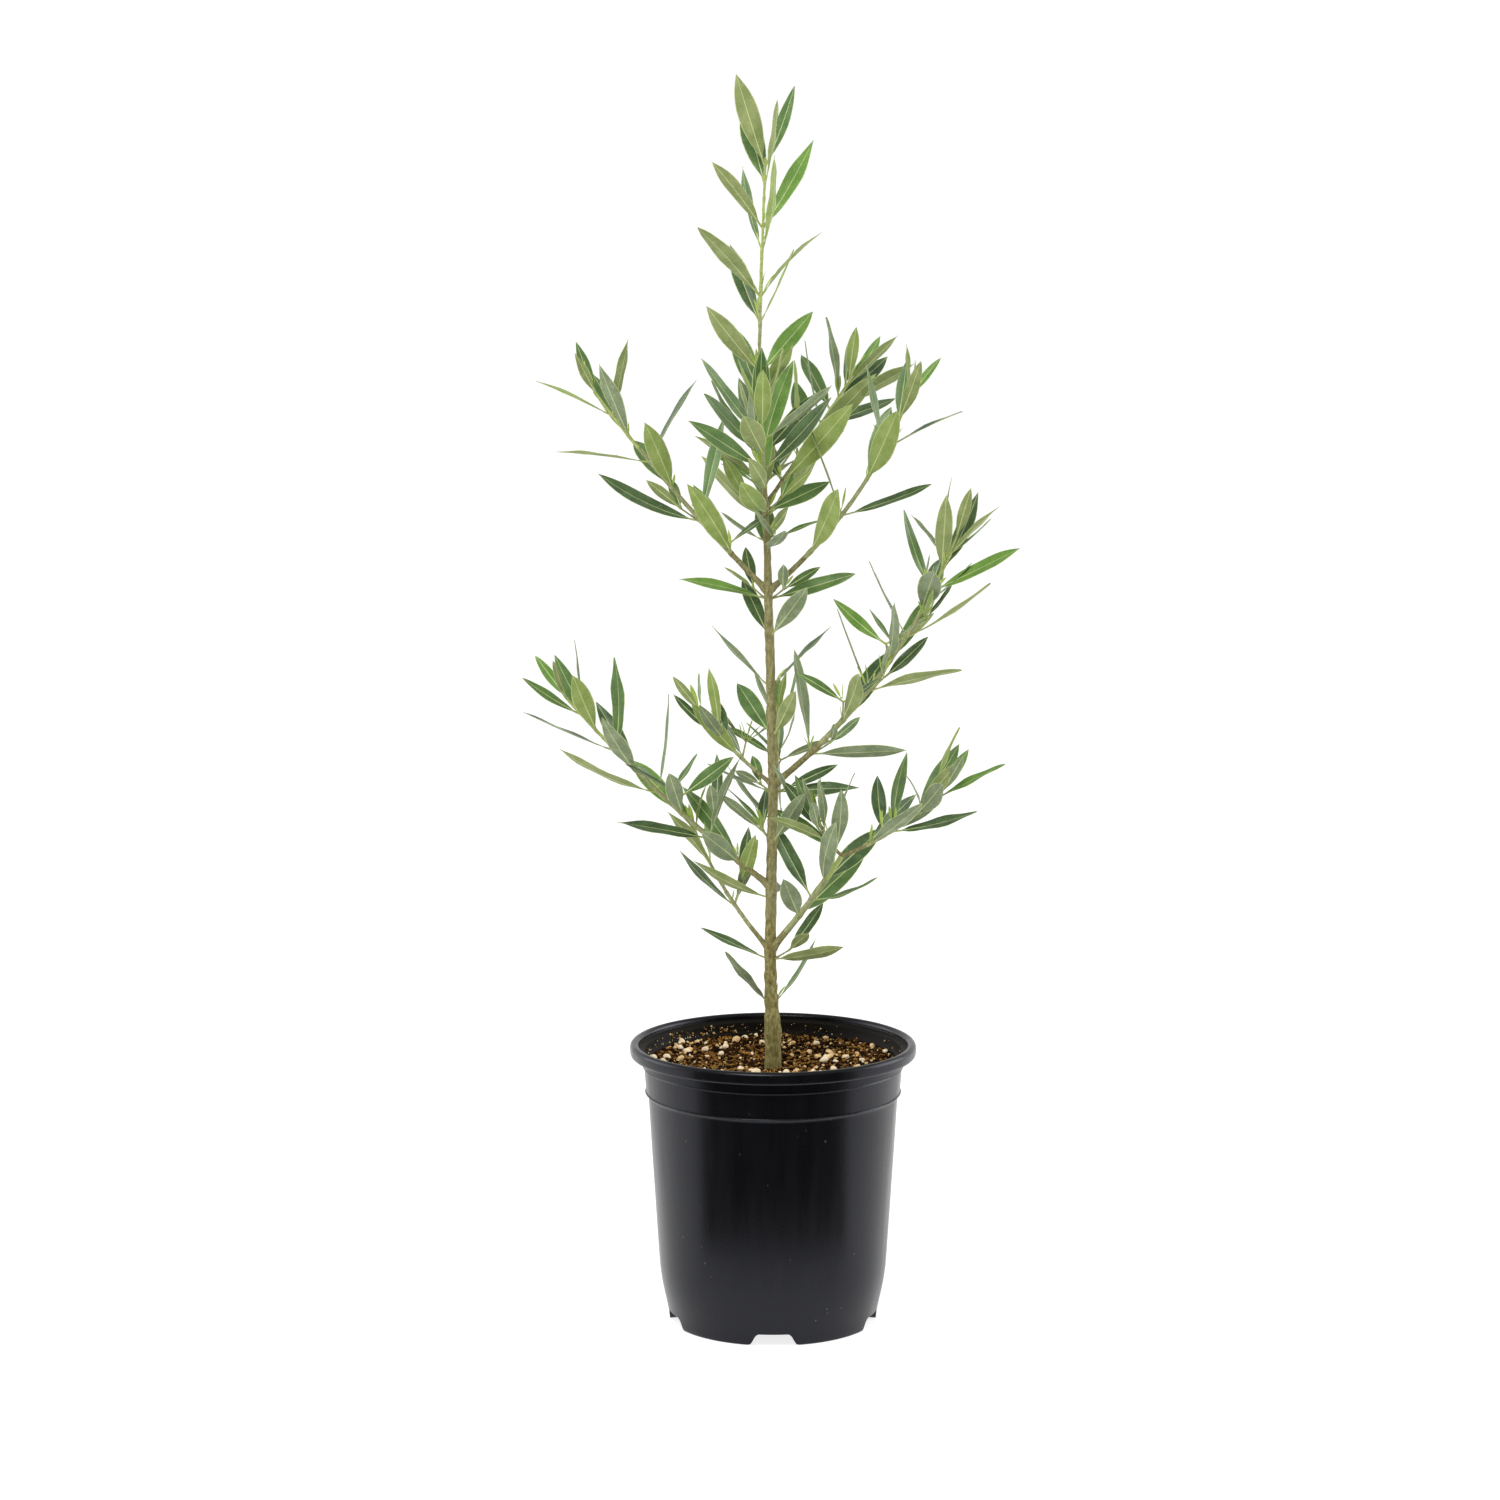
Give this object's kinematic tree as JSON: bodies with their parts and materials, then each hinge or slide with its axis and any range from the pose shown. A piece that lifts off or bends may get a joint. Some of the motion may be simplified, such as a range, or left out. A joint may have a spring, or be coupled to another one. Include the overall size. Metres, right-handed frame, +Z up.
{
  "type": "potted young olive tree",
  "caption": "Young olive tree with a single leader, rising leafy side shoots and narrow leaves in opposite pairs, standing in a round black nursery pot.",
  "frame": {"origin": "on the ground under the middle of the plant and pot", "axes": "+Z up along the trunk, -Y toward the viewer of the picture, +X to the viewer's right"},
  "size_m": [0.2773, 0.1665, 0.7135],
  "materials": {
    "bark": "thin khaki bark, matte, finely furrowed low down and smooth and green higher up",
    "foliage": "leathery leaves, satin blue-green above and matte grey-green beneath, pale midrib",
    "pot_plastic": "black moulded plastic with a soft sheen",
    "potting_mix": "dark brown peat and bark with cream perlite beads"
  },
  "bodies": {
    "root": {"pot": "pot_plastic", "soil": "potting_mix", "trunk": "bark", "bough_upper_left": "bark", "bough_upper_right": "bark", "bough_front": "bark", "bough_inner_right": "bark", "bough_upper_back": "bark", "bough_middle_right": "bark", "bough_middle_left": "bark", "bough_lower_left": "bark", "bough_lower_back": "bark", "bough_lowest_left": "bark", "bough_lowest_right": "bark", "foliage_upper_left": "foliage", "foliage_upper_right": "foliage", "foliage_front": "foliage", "foliage_inner_right": "foliage", "foliage_upper_back": "foliage", "foliage_middle_right": "foliage", "foliage_middle_left": "foliage", "foliage_lower_left": "foliage", "foliage_lower_back": "foliage", "foliage_lowest_left": "foliage", "foliage_lowest_right_outer": "foliage", "foliage_lowest_right_inner": "foliage", "leaf_pair_01": "foliage", "leaf_pair_02": "foliage", "leaf_pair_03": "foliage", "leaf_pair_04": "foliage", "leaf_pair_05": "foliage", "leaf_pair_06": "foliage", "leaf_pair_07": "foliage", "leaf_pair_08": "foliage", "leaf_pair_09": "foliage", "leaf_pair_10": "foliage", "leaf_pair_11": "foliage", "leaf_pair_12": "foliage", "leaf_pair_13": "foliage", "leaf_pair_14": "foliage", "leaf_pair_15": "foliage", "leaf_pair_16": "foliage", "leaf_pair_17": "foliage", "leaf_pair_18": "foliage", "leaf_pair_19": "foliage", "leaf_pair_20": "foliage", "leaf_pair_21": "foliage", "leaf_pair_22": "foliage", "leaf_pair_23": "foliage"}
  },
  "joints": []
}
